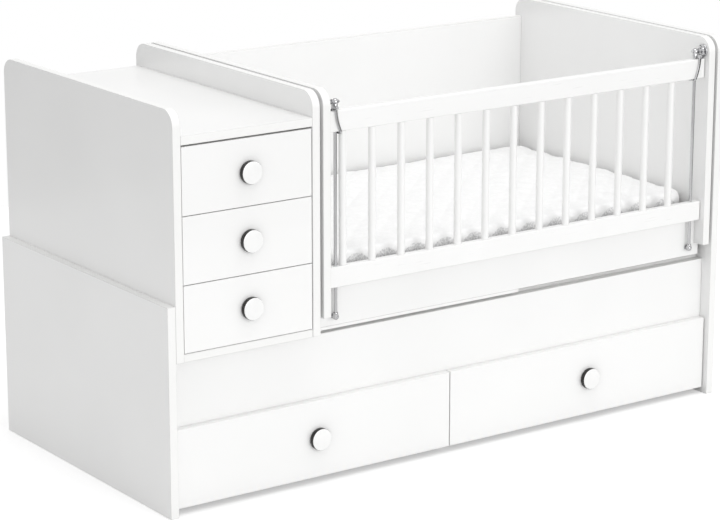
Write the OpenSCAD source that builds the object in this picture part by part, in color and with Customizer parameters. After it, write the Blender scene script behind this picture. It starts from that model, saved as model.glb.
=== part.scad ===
/* [Overall] */
// Length over the two outer end panels
length = 1720; // [1600:5:1900]
// Depth of the end panels, front edge to back edge
depth = 820; // [760:5:900]
// Height of the tall rounded panels
height = 985; // [940:5:1050]
// Thickness of the end panels and of the chest's boards
board = 22; // [18:1:25]
// Radius of the rounded top corners
corner_radius = 40; // [20:1:80]
// Gap between the crib and its neighbours on either side
module_gap = 9; // [4:1:15]

/* [Base] */
// Height of the low square end panel
base_end_height = 522; // [480:1:560]
// How far the long boards sit behind the end panels' front edges
board_setback = 35; // [30:1:45]
// Top edge of the long boards
long_board_top = 375; // [350:1:400]
// Width of the long front board
long_board_width = 183; // [170:1:200]
// Width of the long back board
back_board_width = 335; // [250:1:360]
// Thickness of the deck panels
deck_thickness = 16; // [12:1:20]
// How far the deck stands above the long boards' top edge
deck_rise = 7; // [2:1:12]
// Distance from the left end to the line between the two bed drawers
divider_centre = 835; // [780:1:900]
// Section of the battens under the deck
deck_batten = 30; // [20:1:40]

/* [Chest] */
// Clear width between the chest's sides
chest_width = 364; // [320:1:420]
// Surface of the chest's top, below the top of its sides
chest_top_drop = 61; // [40:1:90]
// Thickness of the chest's bottom board
chest_bottom_board = 20; // [16:1:24]
// Thickness of the chest's back panel
chest_back_board = 6; // [4:1:10]
// Inset of the back panels from the end panels' back edges
back_inset = 10; // [4:1:20]

/* [Drawers] */
// Thickness of a drawer front
front_thickness = 18; // [16:1:20]
// Gap below a drawer front
front_gap = 2; // [1.5:0.5:4]
// Gap between the top drawer's front and the chest's top
top_gap = 4; // [2:0.5:6]
// Gap at the left of a drawer front
left_front_gap = 1; // [0.8:0.1:3]
// Gap at the right of a drawer front
right_front_gap = 3; // [1:0.5:4]
// Thickness of the sides and back of a drawer box
box_wall = 12; // [10:1:15]
// Thickness of a drawer's bottom panel
box_floor = 5; // [3:1:8]
// Room for a runner on each side of a drawer box
runner_gap = 13; // [12:0.5:16]
// Room behind a closed drawer box
box_back_room = 39; // [30:1:120]
// Height of a chest drawer box
chest_box_height = 115; // [90:1:130]
// Height of a bed drawer box
bed_box_height = 125; // [100:1:140]
// Bed drawer fronts, above the floor
bed_front_lift = 17; // [10:1:25]
// Height of a bed drawer front
bed_front_height = 197; // [190:1:205]
// How far the bed drawer fronts sit behind the end panels
bed_front_setback = 16; // [8:1:16]
// How much of a runner's moving member stays in its channel when its drawer is out
slide_grip = 150; // [100:10:160]
// How far a chest drawer pulls out
chest_drawer_travel = 400; // [300:5:420]
// How far a bed drawer pulls out
bed_drawer_travel = 450; // [350:5:460]

/* [Knobs] */
// Diameter of a knob
knob_diameter = 56; // [40:1:64]
// Depth of a knob's dark body
knob_depth = 14; // [8:1:16]
// Rise of a knob's domed cap
knob_dome = 3; // [2:0.5:8]
// Chest knobs, to the right of their drawers' middle
chest_knob_shift = 4; // [0:1:20]
// Knob of the left bed drawer, to the right of its middle
left_knob_shift = 6; // [0:1:40]
// Knob of the right bed drawer, to the right of its middle
right_knob_shift = 26; // [0:1:40]
// Diameter of a knob's screw
knob_screw = 4; // [3:0.5:5]

/* [Crib] */
// Height of the crib's base frame
crib_frame_height = 33; // [28:1:40]
// Height of the spacers between the crib and the deck
skid_height = 8; // [5:1:12]
// How far the base frame reaches under the crib's end panels
frame_reach = 15; // [10:1:20]
// Right end of the front spacer, from the left end of the bed
skid_end = 1068; // [950:1:1150]
// Thickness of the crib's front apron and back panel
panel_thickness = 18; // [16:1:22]
// Top edge of the front apron above its lower edge
apron_height = 145; // [130:1:150]
// Front face of the apron, behind the end panels' front edges
apron_setback = 35.5; // [35.5:0.5:42]
// Top edge of the back panel, below the top of the end panels
back_panel_drop = 51; // [30:1:80]
// Thickness of a slat
slat_thickness = 14; // [10:1:18]
// Width of a slat
slat_width = 70; // [50:1:80]
// Number of slats
slat_count = 12; // [8:1:13]
// Slats above the lower edges of the crib's panels
slat_lift = 8; // [4:1:20]
// Height of the battens that carry the slats
slat_batten_height = 28; // [20:1:32]

/* [Mattress] */
// Thickness of the mattress at its edge
mattress_edge = 110; // [80:1:125]
// Rise of the mattress's crown
mattress_crown = 8; // [5:1:15]
// Front edge of the mattress, behind the end panels' front edges
mattress_setback = 62; // [50:1:110]
// Clearance between the mattress and the panels round it
mattress_gap = 3; // [2:0.5:8]
// Radius of the mattress's corners in plan
mattress_corner = 36; // [30:1:70]
// Pitch of the stitched channels round its border
quilt_pitch = 100; // [50:1:120]
// Depth of the channels round its border
quilt_depth = 4; // [2:0.5:6]

/* [Drop side] */
// Height of the top and bottom rails
rail_height = 52; // [45:1:58]
// Thickness of the rails
rail_thickness = 20; // [19:0.5:20]
// Front face of the rails, behind the end panels' front edges
rail_setback = 13.5; // [12.5:0.5:14]
// Top of the top rail, below the top of the end panels
top_rail_drop = 56; // [50:1:80]
// Gap between the lowered drop side and the balls at the rods' feet
foot_stop_gap = 5; // [3:0.5:8]
// Clearance between the drop side and the end panels
side_clearance = 2; // [1:0.5:4]
// Diameter of a bar
bar_diameter = 19; // [15:0.5:19]
// Diameter of the tenon at each end of a bar
tenon_diameter = 12; // [8:0.5:13]
// Length of a tenon
tenon_length = 20; // [12:1:30]
// Number of bars
bar_count = 13; // [11:1:13]
// Gap between the first bar and the foot of the left latch hook
first_bar_gap = 1.2; // [0.8:0.1:10]
// Last bar, from the crib's right end panel
last_bar = 109.5; // [100:0.5:120]
// Travel of the drop side
drop_travel = 62; // [40:1:62]

/* [Rods and latches] */
// Diameter of a guide rod
rod_diameter = 8; // [6:0.5:8]
// Guide rods, from the crib's end panels
rod_inset = 28.5; // [26:0.5:32]
// Ball at the rod's foot, above the base frame's lower edge
rod_foot_rise = 26; // [24:1:30]
// Ball at the rod's top, above the top rail
rod_top_rise = 20; // [18:1:24]
// Diameter of the balls at the rods' ends
ball_diameter = 16; // [13:0.5:18]
// Diameter of the flange on the end panel
flange_diameter = 34; // [26:1:40]
// Diameter of the stem between flange and ball
stem_diameter = 9; // [6:0.5:10]
// Outer diameter of the bushes in the rails
bush_diameter = 12; // [10:0.5:13]
// Width of a latch hook
hook_width = 5.5; // [4:0.5:7]
// Middle of the hook's eye, from the rod towards the end panel
hook_offset = 6; // [4:0.5:8]
// Gap between the rod and the hook's foot beside it
foot_rod_gap = 0.8; // [0.5:0.1:1.2]
// How far the hook's foot stops short of the rail's back
hook_foot_short = 1; // [0:0.5:6]
// Inner radius of the bend at the hook's foot
bend_radius = 4; // [3:0.5:5]
// Pin of a latch hook, in front of the rail
hook_pin_lead = 3.5; // [3:0.1:4]
// Thickness of a latch hook
hook_thickness = 3.5; // [2.5:0.1:3.5]
// Pin of a latch hook, above the top rail
hook_pin_rise = 7.5; // [7:0.5:9]
// Diameter of the latch's pin
pin_diameter = 5; // [3:0.5:5.5]

/* [Clearances] */
// Radial clearance of a rod in its bush and of a hook on its pin
running = 0.08; // [0.02:0.01:0.1]
// Radial clearance of dowels, screws and tenons in their holes
snug = 0.1; // [0.05:0.01:0.2]
// Gap between pieces that move past each other
moving_gap = 1.5; // [1:0.1:2]
// Gap between the flanges of a runner's two channels
slide_clearance = 0.1; // [0.05:0.01:0.2]
// Play of boards, battens and slats that are laid between two faces
laid_play = 1; // [0.5:0.5:1.5]

/* [Hidden] */
fixed_nodes = [
    "base_left_end", "base_right_end", "base_front_board", "base_back_board", "base_divider",
    "base_deck", "deck_battens", "base_runners",
    "chest_left_side", "chest_right_side", "chest_top", "chest_bottom", "chest_back", "chest_runners",
    "crib_left_end", "crib_right_end", "crib_back_panel", "crib_apron", "crib_frame", "crib_skids",
    "slat_battens", "slats", "mattress", "guide_rods", "rod_top_brackets", "rod_feet", "dowels",
    "top_rail", "bottom_rail", "side_bars", "rail_bushes", "latch_brackets",
    "left_latch_hook", "right_latch_hook"
];
drawer_names = ["top_drawer", "middle_drawer", "bottom_drawer", "left_bed_drawer", "right_bed_drawer"];
drawer_pieces = ["front", "box", "slides", "knob_base", "knob_cap"];
$fn = 48;
// How far a cutter reaches past the face that it cuts
over = 1;

// Colours of the finishes
laminate = [0.96, 0.96, 0.955];
raw_board = [0.86, 0.84, 0.8];
timber = [0.83, 0.7, 0.52];
steel = [0.72, 0.73, 0.75];
zinc = [0.8, 0.81, 0.83];
nylon = [0.9, 0.9, 0.88];
dark_metal = [0.09, 0.08, 0.08];
ticking = [0.97, 0.97, 0.97];

// Lines across the length, from the left end
inside_left = board;
chest_left = inside_left + board;
chest_right = chest_left + chest_width;
crib_left_out = chest_right + board + module_gap;
crib_left = crib_left_out + board;
inside_right = length - board;
crib_right_out = inside_right - module_gap;
crib_right = crib_right_out - board;
frame_left = crib_left - frame_reach;
frame_right = crib_right + frame_reach;

// Heights
deck_top = long_board_top + deck_rise;
deck_underside = deck_top - deck_thickness;
long_board_bottom = long_board_top - long_board_width;
crib_frame_bottom = deck_top + skid_height;
crib_panel_bottom = crib_frame_bottom + crib_frame_height;
chest_top_surface = height - chest_top_drop;
chest_top_underside = chest_top_surface - board;
chest_floor = deck_top + chest_bottom_board;
slat_underside = crib_panel_bottom + slat_lift;
slat_top = slat_underside + slat_thickness;
back_panel_top = height - back_panel_drop;
top_rail_top = height - top_rail_drop;
top_rail_bottom = top_rail_top - rail_height;
rod_foot_height = crib_frame_bottom + rod_foot_rise;
bottom_rail_bottom = rod_foot_height + ball_diameter / 2 + foot_stop_gap + drop_travel;
bottom_rail_top = bottom_rail_bottom + rail_height;
rod_top_height = top_rail_top + rod_top_rise;
hook_pin_height = top_rail_top + hook_pin_rise;

// Lines across the depth, from the front
long_board_back = depth - board_setback;
crib_back_face = depth - back_inset;
crib_back_inner = crib_back_face - panel_thickness;
apron_back = apron_setback + panel_thickness;
rail_back = rail_setback + rail_thickness;
rail_middle = rail_setback + rail_thickness / 2;
hook_pin_depth = rail_setback - hook_pin_lead;

// Drawers: left and right edge of the opening, lower edge, front height, setback, knob shift
chest_zone = chest_top_underside - chest_floor;
chest_front_height = (chest_zone - 3 * front_gap - top_gap) / 3;
chest_pitch = chest_front_height + front_gap;
bed_left_edge = inside_left;
bed_right_edge = inside_right;
drawer_left = [chest_left, chest_left, chest_left, bed_left_edge, divider_centre];
drawer_right = [chest_right, chest_right, chest_right, divider_centre, bed_right_edge];
drawer_bottom = [
    chest_floor + front_gap + 2 * chest_pitch,
    chest_floor + front_gap + chest_pitch,
    chest_floor + front_gap,
    bed_front_lift,
    bed_front_lift
];
function is_bed(i) = i > 2;
function front_height(i) = is_bed(i) ? bed_front_height : chest_front_height;
function front_face(i) = is_bed(i) ? bed_front_setback : 0;
function box_height(i) = is_bed(i) ? bed_box_height : chest_box_height;
function knob_shift(i) = is_bed(i) ? (i == 3 ? left_knob_shift : right_knob_shift) : chest_knob_shift;
// The gap in front of the divider is shared by the two bed drawers
function left_gap(i) = i == 4 ? right_front_gap / 2 : left_front_gap;
function right_gap(i) = i == 3 ? right_front_gap / 2 : right_front_gap;
// Faces that carry the runners
function bay_left(i) = i == 4 ? divider_centre + board / 2 : drawer_left[i];
function bay_right(i) = i == 3 ? divider_centre - board / 2 : drawer_right[i];
box_lift = 20;
function box_bottom(i) = drawer_bottom[i] + box_lift;
function box_left(i) = bay_left(i) + runner_gap;
function box_right(i) = bay_right(i) - runner_gap;
function box_front(i) = front_face(i) + front_thickness;
// All the boxes have one length, set by the bay behind the long back board
bay_back = long_board_back - board;
box_length = bay_back - box_back_room - bed_front_setback - front_thickness;
function slide_length(i) = (is_bed(i) ? bed_drawer_travel : chest_drawer_travel) + slide_grip;
function runner_height(i) = box_bottom(i) + box_height(i) / 2;
function knob_x(i) = (drawer_left[i] + drawer_right[i]) / 2 + knob_shift(i);
function knob_z(i) = drawer_bottom[i] + front_height(i) / 2;

knob_reach = knob_depth + knob_dome;
// The bounding box runs from the chest knobs to the end panels' back edges
front_y = -(depth + knob_reach) / 2 + knob_reach;

// Puts pieces, drawn from the lower left front corner, in the part's own frame
module in_place() {
    translate([-length / 2, front_y, 0]) children();
}

// A box given by its low and high corners
module block(low, high) {
    translate(low) cube(high - low);
}

// Dowels across the joints between upright panels and the boards between them
dowel_radius = 4;
dowel_in_panel = 12;
dowel_in_board = 26;
dowel_slack = 1;
dowel_shares = [0.25, 0.75];
front_board_y = board_setback + board / 2;
back_board_y = long_board_back - board / 2;
base_dowels = [
    for (y = [front_board_y, back_board_y], z = dowel_shares)
        [y, long_board_bottom + z * long_board_width]
];
chest_dowels = [
    for (y = dowel_shares, z = [deck_top + chest_bottom_board / 2, chest_top_surface - board / 2])
        [y * depth, z]
];
crib_dowels = concat(
    [for (z = dowel_shares) [apron_setback + panel_thickness / 2,
        crib_panel_bottom + z * (apron_height - crib_frame_height)]],
    [for (z = dowel_shares) [crib_back_inner + panel_thickness / 2,
        crib_panel_bottom + z * (back_panel_top - crib_panel_bottom)]]
);
// Each joint plane: its place, which side its boards lie on, and its dowels
joint_planes = [
    [inside_left, 1, base_dowels],
    [inside_right, -1, base_dowels],
    [chest_left, 1, chest_dowels],
    [chest_right, -1, chest_dowels],
    [crib_left, 1, crib_dowels],
    [crib_right, -1, crib_dowels]
];
module dowels_at(plane, radius, slack) {
    x = plane[0];
    side = plane[1];
    low = side > 0 ? x - dowel_in_panel : x - dowel_in_board;
    for (p = plane[2])
        translate([low - slack, p[0], p[1]])
            rotate([0, 90, 0])
                cylinder(r = radius, h = dowel_in_panel + dowel_in_board + 2 * slack, $fn = 24);
}
module dowel_holes(planes) {
    for (i = planes) dowels_at(joint_planes[i], dowel_radius + snug, dowel_slack);
}
module dowels() in_place() color(timber) {
    for (plane = joint_planes) dowels_at(plane, dowel_radius, 0);
}

// An upright panel with both top corners rounded
module rounded_panel(x, low) {
    tall = height - low;
    translate([x, 0, low])
        rotate([90, 0, 90])
            linear_extrude(board)
                union() {
                    square([depth, tall - corner_radius]);
                    translate([corner_radius, 0]) square([depth - 2 * corner_radius, tall]);
                    translate([corner_radius, tall - corner_radius]) circle(corner_radius, $fn = 96);
                    translate([depth - corner_radius, tall - corner_radius])
                        circle(corner_radius, $fn = 96);
                }
}

// Base of the bed
module base_left_end() in_place() color(laminate) difference() {
    block([0, 0, 0], [board, depth, base_end_height]);
    dowel_holes([0]);
}
module base_right_end() in_place() color(laminate) difference() {
    rounded_panel(inside_right, 0);
    dowel_holes([1]);
}
module long_board(front, low) {
    difference() {
        block([inside_left, front, low], [inside_right, front + board, long_board_top]);
        dowel_holes([0, 1]);
    }
}
module base_front_board() in_place() color(laminate) long_board(board_setback, long_board_bottom);
module base_back_board() in_place() color(laminate) {
    long_board(long_board_back - board, long_board_top - back_board_width);
}
deck_front = board_setback + board + laid_play;
deck_back = long_board_back - board - laid_play;
divider_left = divider_centre - board / 2;
divider_right = divider_centre + board / 2;
module base_divider() in_place() color(laminate) {
    block([divider_left, board_setback + board, 0], [divider_right, bay_back, deck_underside]);
}
module base_deck() in_place() color(raw_board) {
    seam_left = divider_centre - laid_play / 2;
    seam_right = divider_centre + laid_play / 2;
    block([inside_left + laid_play, deck_front, deck_underside], [seam_left, deck_back, deck_top]);
    block([seam_right, deck_front, deck_underside], [inside_right - laid_play, deck_back, deck_top]);
}
// Battens screwed to the long boards' inner faces, one pair on each side of the divider
module deck_battens() in_place() color(timber) {
    low = deck_underside - deck_batten;
    front = board_setback + board;
    for (span = [[inside_left, divider_left], [divider_right, inside_right]]) {
        left = span[0] + laid_play;
        right = span[1] - laid_play;
        block([left, front, low], [right, front + deck_batten, deck_underside]);
        block([left, bay_back - deck_batten, low], [right, bay_back, deck_underside]);
    }
}

// Runners: a fixed channel on each bay wall, and a narrower one on the drawer that slides in it
channel_height = 34;
channel_wall = 1.6;
channel_room = 3;
channel_depth = runner_gap - channel_room;
runner_short = 10;
runner_length = box_length - runner_short;
runner_start = 4;
slide_height = channel_height - 2 * channel_wall - 2 * slide_clearance;
module channel(x, side, y, z) {
    translate([x, y, z])
        scale([side, 1, 1])
            difference() {
                block([0, 0, -channel_height / 2], [channel_depth, runner_length, channel_height / 2]);
                block([channel_wall, -over, channel_wall - channel_height / 2],
                    [channel_depth + over, runner_length + over, channel_height / 2 - channel_wall]);
            }
}
module runner_pair(i) {
    y = box_front(i) + runner_start;
    channel(bay_left(i), 1, y, runner_height(i));
    mirrored(bay_right(i)) channel(0, 1, y, runner_height(i));
}
module mirrored(x) {
    translate([x, 0, 0]) mirror([1, 0, 0]) children();
}
module chest_runners() in_place() color(zinc) {
    for (i = [0 : 2]) runner_pair(i);
}
module base_runners() in_place() color(zinc) {
    for (i = [3 : 4]) runner_pair(i);
}
// The moving member: its web on the box side, its flanges inside those of the fixed channel
module slide_member(y, z, long) {
    reach = runner_gap - channel_wall - moving_gap;
    translate([0, y, z])
        difference() {
            block([-reach, 0, -slide_height / 2], [0, long, slide_height / 2]);
            block([-reach - over, -over, channel_wall - slide_height / 2],
                [-channel_wall, long + over, slide_height / 2 - channel_wall]);
        }
}
module drawer_slides(i) in_place() color(zinc) {
    y = box_front(i) + runner_start;
    translate([box_left(i), 0, 0]) slide_member(y, runner_height(i), slide_length(i));
    mirrored(box_right(i)) slide_member(y, runner_height(i), slide_length(i));
}

// Chest
module chest_left_side() in_place() color(laminate) difference() {
    rounded_panel(inside_left, deck_top);
    dowel_holes([2]);
}
module chest_right_side() in_place() color(laminate) difference() {
    rounded_panel(chest_right, deck_top);
    dowel_holes([3]);
}
chest_back_face = depth - back_inset;
module chest_top() in_place() color(laminate) difference() {
    block([chest_left, 0, chest_top_underside], [chest_right, chest_back_face, chest_top_surface]);
    dowel_holes([2, 3]);
}
chest_bottom_setback = 2;
module chest_bottom() in_place() color(laminate) difference() {
    block([chest_left, chest_bottom_setback, deck_top],
        [chest_right, chest_back_face - chest_back_board, chest_floor]);
    dowel_holes([2, 3]);
}
module chest_back() in_place() color(raw_board) {
    block([chest_left, chest_back_face - chest_back_board, deck_top],
        [chest_right, chest_back_face, chest_top_underside]);
}

// Drawers
module drawer_front(i) in_place() color(laminate) difference() {
    block([drawer_left[i] + left_gap(i), front_face(i), drawer_bottom[i]],
        [drawer_right[i] - right_gap(i), box_front(i), drawer_bottom[i] + front_height(i)]);
    translate([knob_x(i), box_front(i) + over, knob_z(i)])
        rotate([90, 0, 0])
            cylinder(d = knob_screw + 2 * snug, h = front_thickness + 2 * over, $fn = 24);
}
// The bottom and the back stand in grooves in the two sides
floor_lift = 8;
groove_depth = 5;
groove_lip = 6;
module drawer_box(i) in_place() color(raw_board) {
    left = box_left(i);
    right = box_right(i);
    front = box_front(i);
    back = front + box_length;
    low = box_bottom(i);
    high = low + box_height(i);
    floor_low = low + floor_lift;
    floor_high = floor_low + box_floor;
    difference() {
        union() {
            block([left, front, low], [left + box_wall, back, high]);
            block([right - box_wall, front, low], [right, back, high]);
        }
        block([left + box_wall - groove_depth, front - over, floor_low],
            [right - box_wall + groove_depth, back + over, floor_high]);
        block([left + box_wall - groove_depth, back - box_wall - groove_lip, floor_high - over],
            [right - box_wall + groove_depth, back - groove_lip, high + over]);
    }
    panel_left = left + box_wall - groove_depth + snug;
    panel_right = right - box_wall + groove_depth - snug;
    block([panel_left, front, floor_low + snug], [panel_right, back, floor_high - snug]);
    block([panel_left, back - box_wall - groove_lip + snug, floor_high + snug],
        [panel_right, back - groove_lip - snug, high]);
}
screw_head = 9;
screw_head_depth = 3;
screw_bite = 8;
module knob_base(i) in_place() color(dark_metal)
    translate([knob_x(i), front_face(i), knob_z(i)])
        rotate([90, 0, 0]) {
            difference() {
                cylinder(d = knob_diameter, h = knob_depth, $fn = 96);
                translate([0, 0, -over])
                    cylinder(d = knob_screw + 2 * snug, h = screw_bite + 2 * over, $fn = 24);
            }
            translate([0, 0, -front_thickness])
                cylinder(d = knob_screw, h = front_thickness + screw_bite, $fn = 24);
            translate([0, 0, -front_thickness - screw_head_depth])
                cylinder(d = screw_head, h = screw_head_depth, $fn = 32);
        }
cap_edge = 1;
cap_steps = 10;
cap_margin = 0.6;
cap_radius = knob_diameter / 2 - cap_margin;
cap_sphere = (cap_radius * cap_radius + (knob_dome - cap_edge) * (knob_dome - cap_edge))
    / (2 * (knob_dome - cap_edge));
function dome_rise(r) = knob_dome - cap_sphere + sqrt(cap_sphere * cap_sphere - r * r);
module knob_cap(i) in_place() color(laminate)
    translate([knob_x(i), front_face(i) - knob_depth, knob_z(i)])
        rotate([90, 0, 0])
            rotate_extrude($fn = 96)
                polygon(concat([[0, 0], [cap_radius, 0]],
                    [for (k = [cap_steps : -1 : 0])
                        let (r = cap_radius * k / cap_steps) [r, dome_rise(r)]]));

// Crib
module crib_left_end() in_place() color(laminate) difference() {
    rounded_panel(crib_left_out, crib_panel_bottom);
    dowel_holes([4]);
}
module crib_right_end() in_place() color(laminate) difference() {
    rounded_panel(crib_right, crib_panel_bottom);
    dowel_holes([5]);
}
module crib_back_panel() in_place() color(laminate) difference() {
    block([crib_left, crib_back_inner, crib_panel_bottom], [crib_right, crib_back_face, back_panel_top]);
    dowel_holes([4, 5]);
}
foot_stud = 5;
stud_length = 12;
module apron_shape() {
    block([frame_left, apron_setback, crib_frame_bottom], [frame_right, apron_back, crib_panel_bottom]);
    block([crib_left, apron_setback, crib_panel_bottom],
        [crib_right, apron_back, crib_frame_bottom + apron_height]);
}
rod_places = [crib_left + rod_inset, crib_right - rod_inset];
module crib_apron() in_place() color(laminate) difference() {
    apron_shape();
    dowel_holes([4, 5]);
    for (x = rod_places)
        translate([x, apron_setback - over, rod_foot_height])
            rotate([-90, 0, 0])
                cylinder(d = foot_stud + 2 * snug, h = stud_length + 2 * over, $fn = 24);
}
// The rear rail and the two cross bearers, under the crib's end panels
module crib_frame() in_place() color(laminate) {
    block([frame_left, crib_back_inner, crib_frame_bottom],
        [frame_right, crib_back_face, crib_panel_bottom]);
    for (x = [frame_left, frame_right - board])
        block([x, apron_back, crib_frame_bottom], [x + board, crib_back_inner, crib_panel_bottom]);
}
skid_width = 60;
skid_spacing = 10;
module crib_skids() in_place() color(laminate) {
    block([frame_left, apron_setback, deck_top],
        [skid_end, apron_setback + skid_width, crib_frame_bottom]);
    for (x = [frame_left, frame_right - board])
        block([x, apron_setback + skid_width + skid_spacing, deck_top],
            [x + board, deck_back, crib_frame_bottom]);
}
module slat_battens() in_place() color(timber) {
    left = frame_left + board + laid_play / 2;
    right = frame_right - board - laid_play / 2;
    low = slat_underside - slat_batten_height;
    block([left, apron_back, low], [right, apron_back + panel_thickness, slat_underside]);
    block([left, crib_back_inner - panel_thickness, low], [right, crib_back_inner, slat_underside]);
}
slat_margin = 8;
module slats() in_place() color(timber) {
    first = crib_left + slat_margin;
    last = crib_right - slat_margin - slat_width;
    for (k = [0 : slat_count - 1]) {
        x = first + (last - first) * k / (slat_count - 1);
        block([x, apron_back + laid_play, slat_underside],
            [x + slat_width, crib_back_inner - laid_play, slat_top]);
    }
}

// Mattress: rings of points round a rectangle with rounded corners, from the underside to the crown
mattress_length = crib_right - crib_left - 2 * mattress_gap;
mattress_width = crib_back_inner - mattress_gap - mattress_setback;
mattress_lift = 0.3;
mattress_base = slat_top + mattress_lift;
corner_steps = 4;
long_steps = 2 * round(mattress_length / quilt_pitch);
short_steps = 2 * round(mattress_width / quilt_pitch);
border_depth = 12;
swell_inset = 3;
least_radius = 2;
function corner_arc(cx, cy, r, from) = [
    for (k = [0 : corner_steps])
        let (a = from + 90 * k / corner_steps) [cx + r * cos(a), cy + r * sin(a)]
];
// Points between the two ends of a straight side, every second one drawn in by the stitching
function side_points(a, b, steps, pull, inward) = [
    for (k = [1 : steps - 1]) a + (b - a) * k / steps + inward * (k % 2 == 1 ? pull : 0)
];
function ring(inset, pull) =
    let (
        half_l = mattress_length / 2 - inset,
        half_w = mattress_width / 2 - inset,
        r = max(least_radius, min(mattress_corner - inset / 2, half_w - 1)),
        east = half_l - r,
        north = half_w - r
    )
    concat(
        corner_arc(east, north, r, 0),
        side_points([east, half_w], [-east, half_w], long_steps, pull, [0, -1]),
        corner_arc(-east, north, r, 90),
        side_points([-half_l, north], [-half_l, -north], short_steps, pull, [1, 0]),
        corner_arc(-east, -north, r, 180),
        side_points([-east, -half_w], [east, -half_w], long_steps, pull, [0, 1]),
        corner_arc(east, -north, r, 270),
        side_points([half_l, -north], [half_l, north], short_steps, pull, [-1, 0])
    );
crown_ridge = 16;
crown_inset = (mattress_width - crown_ridge) / 2;
// Each level: inset from the outline, pull of the stitching, height
levels = [
    [border_depth, 0, 0],
    [swell_inset, quilt_depth / 2, 0.12 * mattress_edge],
    [quilt_depth, quilt_depth, 0.5 * mattress_edge],
    [swell_inset, quilt_depth / 2, 0.88 * mattress_edge],
    [border_depth, 0, mattress_edge],
    [border_depth + 40, 0, mattress_edge + 0.35 * mattress_crown],
    [border_depth + 120, 0, mattress_edge + 0.8 * mattress_crown],
    [crown_inset, 0, mattress_edge + mattress_crown]
];
function raised(points, z) = [for (p = points) [p.x, p.y, z]];
module mattress() in_place() color(ticking) {
    rings = [for (l = levels) raised(ring(l[0], l[1]), l[2])];
    n = len(rings[0]);
    last = len(rings) - 1;
    count = n * len(rings);
    points = concat([for (r = rings, p = r) p], [[0, 0, 0], [0, 0, mattress_edge + mattress_crown]]);
    walls = [
        for (l = [0 : last - 1], k = [0 : n - 1])
            let (a = l * n + k, b = l * n + (k + 1) % n)
                for (face = [[a, a + n, b], [b, a + n, b + n]]) face
    ];
    underside = [for (k = [0 : n - 1]) [count, k, (k + 1) % n]];
    top = [for (k = [0 : n - 1]) [count + 1, last * n + (k + 1) % n, last * n + k]];
    translate([(crib_left + crib_right) / 2, mattress_setback + mattress_width / 2, mattress_base])
        polyhedron(points, concat(walls, underside, top));
}

// Guide rods and what holds them
module guide_rods() in_place() color(steel) {
    low = rod_foot_height;
    for (x = rod_places)
        translate([x, rail_middle, low]) cylinder(d = rod_diameter, h = rod_top_height - low);
}
flange_depth = 4;
flange_screw = 5;
screw_rise = 1.5;
module rod_seat_hole(down) {
    translate([0, 0, down ? -ball_diameter : 0])
        cylinder(d = rod_diameter + 2 * snug, h = ball_diameter);
}
module top_bracket() {
    difference() {
        union() {
            sphere(d = ball_diameter);
            rotate([0, -90, 0]) cylinder(d = stem_diameter, h = rod_inset);
            translate([-rod_inset, 0, 0])
                rotate([0, 90, 0])
                    cylinder(d = flange_diameter, h = flange_depth, $fn = 64);
        }
        rod_seat_hole(true);
    }
    for (z = [-1, 1])
        translate([flange_depth - rod_inset, 0, z * flange_diameter / 3])
            rotate([0, 90, 0])
                cylinder(d = flange_screw, h = screw_rise, $fn = 24);
}
module rod_top_brackets() in_place() color(steel) {
    translate([rod_places[0], rail_middle, rod_top_height]) top_bracket();
    translate([rod_places[1], rail_middle, rod_top_height]) mirror([1, 0, 0]) top_bracket();
}
foot_washer = 2;
washer_diameter = 13;
module rod_feet() in_place() color(steel)
    for (x = rod_places)
        translate([x, rail_middle, rod_foot_height])
            difference() {
                union() {
                    sphere(d = ball_diameter);
                    rotate([-90, 0, 0])
                        cylinder(d = foot_stud, h = apron_setback - rail_middle + stud_length);
                    translate([0, apron_setback - rail_middle - foot_washer, 0])
                        rotate([-90, 0, 0])
                            cylinder(d = washer_diameter, h = foot_washer);
                }
                rod_seat_hole(false);
            }

// Drop side
side_left = crib_left + side_clearance;
side_right = crib_right - side_clearance;
foot_left = rod_diameter / 2 + foot_rod_gap;
first_bar = rod_inset + foot_left + hook_width + first_bar_gap + bar_diameter / 2;
bar_pitch = (crib_right - last_bar - crib_left - first_bar) / (bar_count - 1);
bar_places = [for (k = [0 : bar_count - 1]) crib_left + first_bar + k * bar_pitch];
module rail(low, tenon_from, tenon_to) {
    difference() {
        block([side_left, rail_setback, low], [side_right, rail_back, low + rail_height]);
        for (x = rod_places)
            translate([x, rail_middle, low - over])
                cylinder(d = bush_diameter, h = rail_height + 2 * over);
        for (x = bar_places)
            translate([x, rail_middle, tenon_from])
                cylinder(d = tenon_diameter + 2 * snug, h = tenon_to - tenon_from, $fn = 32);
    }
}
tenon_slack = 0.5;
module top_rail() in_place() color(laminate) {
    rail(top_rail_bottom, top_rail_bottom - over, top_rail_bottom + tenon_length + tenon_slack);
}
module bottom_rail() in_place() color(laminate) {
    rail(bottom_rail_bottom, bottom_rail_top - tenon_length - tenon_slack, bottom_rail_top + over);
}
module side_bars() in_place() color(laminate)
    for (x = bar_places)
        translate([x, rail_middle, 0]) {
            clear = top_rail_bottom - bottom_rail_top;
            translate([0, 0, bottom_rail_top]) cylinder(d = bar_diameter, h = clear);
            translate([0, 0, bottom_rail_top - tenon_length])
                cylinder(d = tenon_diameter, h = clear + 2 * tenon_length, $fn = 32);
        }
module rail_bushes() in_place() color(nylon)
    for (x = rod_places, z = [top_rail_bottom, bottom_rail_bottom])
        translate([x, rail_middle, z])
            difference() {
                cylinder(d = bush_diameter, h = rail_height);
                translate([0, 0, -over])
                    cylinder(d = rod_diameter + 2 * running, h = rail_height + 2 * over);
            }

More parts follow.
